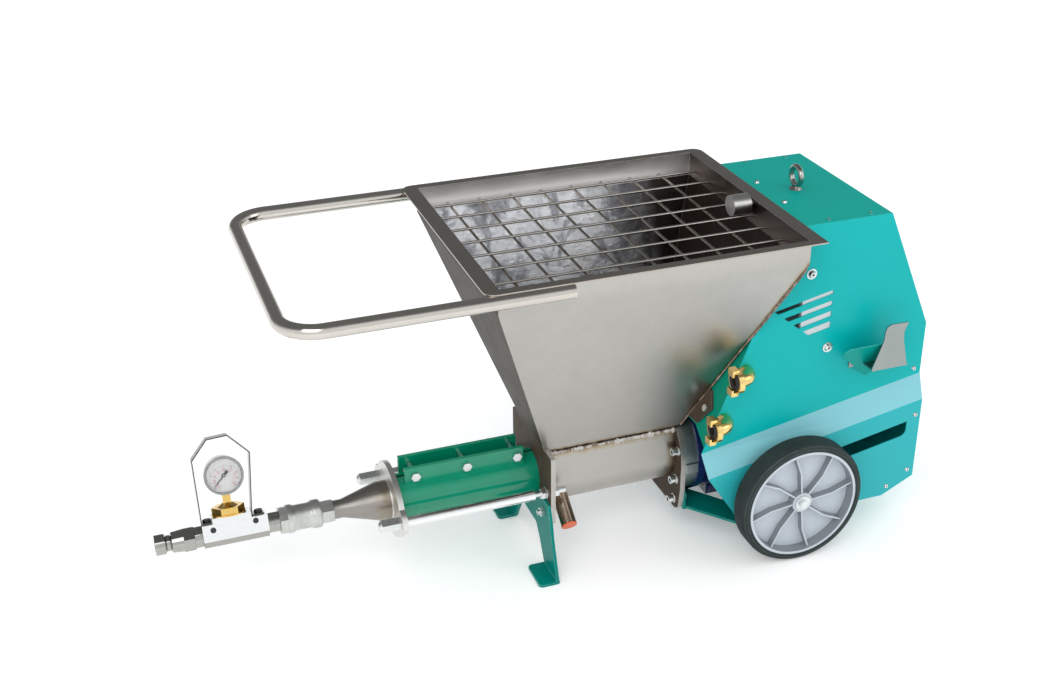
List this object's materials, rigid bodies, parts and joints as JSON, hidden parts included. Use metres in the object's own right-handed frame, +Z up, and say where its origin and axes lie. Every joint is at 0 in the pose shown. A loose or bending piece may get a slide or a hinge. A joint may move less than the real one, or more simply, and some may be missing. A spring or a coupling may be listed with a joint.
{
  "type": "grout pump",
  "caption": "Wheeled grout pump: sloping mixing hopper with grid, screw pump and pressure gauge in front, geared drive in a bent sheet housing behind.",
  "frame": {"origin": "ground level below the middle of the overall box", "axes": "+X along the pump line towards the drive end, +Y to the machine's right, +Z up"},
  "size_m": [1.4226, 0.524, 0.7016],
  "materials": {
    "stainless": "rolled sheet and turned parts with brown heat tint at the welds",
    "zinc": "bright zinc plate",
    "block_steel": "milled, bright",
    "dark_steel": "dark oxide",
    "stator_green": "gloss enamel",
    "teal_paint": "satin powder coat",
    "cover_green": "satin powder coat",
    "navy_paint": "gloss enamel",
    "holder_grey": "brushed, clear coated",
    "brass": "machined",
    "seal_rubber": "matt black",
    "tyre_rubber": "matt dark grey",
    "wheel_plastic": "moulded, light grey",
    "cap_orange": "moulded",
    "dial_white": "printed scale",
    "pointer_black": "matt",
    "gauge_glass": "clear",
    "inverter_grey": "moulded",
    "switch_yellow": "moulded",
    "switch_red": "moulded",
    "knob_black": "moulded"
  },
  "bodies": {
    "root": {"hopper": "stainless", "pump_trough": "stainless", "front_plate": "stainless", "rear_flange": "stainless", "outlet_cone": "stainless", "push_handle": "stainless", "safety_grid": "stainless", "grid_stop": "stainless", "union_nut": "stainless", "shaft_seal": "stainless", "adaptor_ring": "zinc", "frame_bolts": "zinc", "clamp_bolts": "zinc", "tie_rods": "zinc", "rod_sleeves": "zinc", "rod_nuts": "zinc", "panel_screws": "zinc", "eye_bolt": "zinc", "stub_axles": "zinc", "hopper_brackets": "dark_steel", "stator_casing": "stator_green", "front_stand": "teal_paint", "left_side_panel": "teal_paint", "right_side_panel": "teal_paint", "top_panel": "teal_paint", "rear_cover": "teal_paint", "bottom_tray": "teal_paint", "holder_scoop": "teal_paint", "base_frame": "teal_paint", "front_cover": "cover_green", "gear_motor": "navy_paint", "holder_bracket": "holder_grey", "water_couplings": "brass", "stator_rubber": "seal_rubber", "coupling_seals": "seal_rubber", "inverter": "inverter_grey", "power_inlet": "inverter_grey", "switch_plates": "switch_yellow"},
    "left_wheel": {"left_tyre": "tyre_rubber", "left_rim": "wheel_plastic"},
    "right_wheel": {"right_tyre": "tyre_rubber", "right_rim": "wheel_plastic"},
    "drive": {"drive_shaft": "stainless"},
    "joint_rod": {"connecting_rod": "stainless"},
    "screw": {"rotor": "stainless"},
    "manifold": {"swivel_body": "stainless", "nipples": "stainless", "gauge_block": "block_steel", "manifold_screws": "block_steel", "gauge_guard": "stainless", "gauge_fitting": "brass", "gauge_case": "stainless", "gauge_dial": "dial_white", "gauge_glass": "gauge_glass", "camlock_adaptor": "stainless"},
    "pointer": {"gauge_pointer": "pointer_black"},
    "cap": {"drain_cap": "cap_orange"},
    "switch_knob": {"main_switch_knob": "switch_red"},
    "speed_dial": {"speed_knob": "knob_black"},
    "stop": {"stop_button": "switch_red"}
  },
  "joints": [
    {"name": "left_wheel_spin", "type": "hinge", "parent": "root", "child": "left_wheel", "pos_m": [0.43575, -0.213, 0.125], "axis": [0, 1, 0], "continuous": true},
    {"name": "right_wheel_spin", "type": "hinge", "parent": "root", "child": "right_wheel", "pos_m": [0.43575, 0.213, 0.125], "axis": [0, 1, 0], "continuous": true},
    {"name": "drive_spin", "type": "hinge", "parent": "root", "child": "drive", "pos_m": [0.26375, 0, 0.1575], "axis": [1, 0, 0], "continuous": true},
    {"name": "rod_orbit", "type": "hinge", "parent": "root", "child": "joint_rod", "pos_m": [0.10475, 0, 0.1575], "axis": [1, 0, 0], "continuous": true},
    {"name": "rotor_spin", "type": "hinge", "parent": "joint_rod", "child": "screw", "pos_m": [-0.00425, 0, 0.1635], "axis": [1, 0, 0], "continuous": true},
    {"name": "manifold_swivel", "type": "hinge", "parent": "root", "child": "manifold", "pos_m": [-0.41925, 0, 0.1575], "axis": [1, 0, 0], "range_deg": [-70, 110]},
    {"name": "pointer_turn", "type": "hinge", "parent": "manifold", "child": "pointer", "pos_m": [-0.57875, 0.01772, 0.26173], "axis": [0, 0.9397, -0.342], "range_deg": [0, 270], "stiffness_Nm_per_rad": 0.0005},
    {"name": "drain_cap_pull", "type": "slide", "parent": "root", "child": "cap", "axis": [0, -0.8192, -0.5736], "range_m": [0, 0.03]},
    {"name": "main_switch_turn", "type": "hinge", "parent": "root", "child": "switch_knob", "pos_m": [0.65352, 0.075, 0.55309], "axis": [0.9174, 0, 0.3979], "range_deg": [-90, 0]},
    {"name": "speed_turn", "type": "hinge", "parent": "root", "child": "speed_dial", "pos_m": [0.65352, -0.075, 0.55309], "axis": [0.9174, 0, 0.3979], "range_deg": [-270, 0]},
    {"name": "stop_press", "type": "slide", "parent": "root", "child": "stop", "axis": [-0.9174, 0, -0.3979], "range_m": [0, 0.005], "stiffness_N_per_m": 300}
  ],
  "couplings": [
    {"joint": "rod_orbit", "follows": "drive_spin", "ratio": -1},
    {"joint": "rotor_spin", "follows": "drive_spin", "ratio": 2}
  ]
}
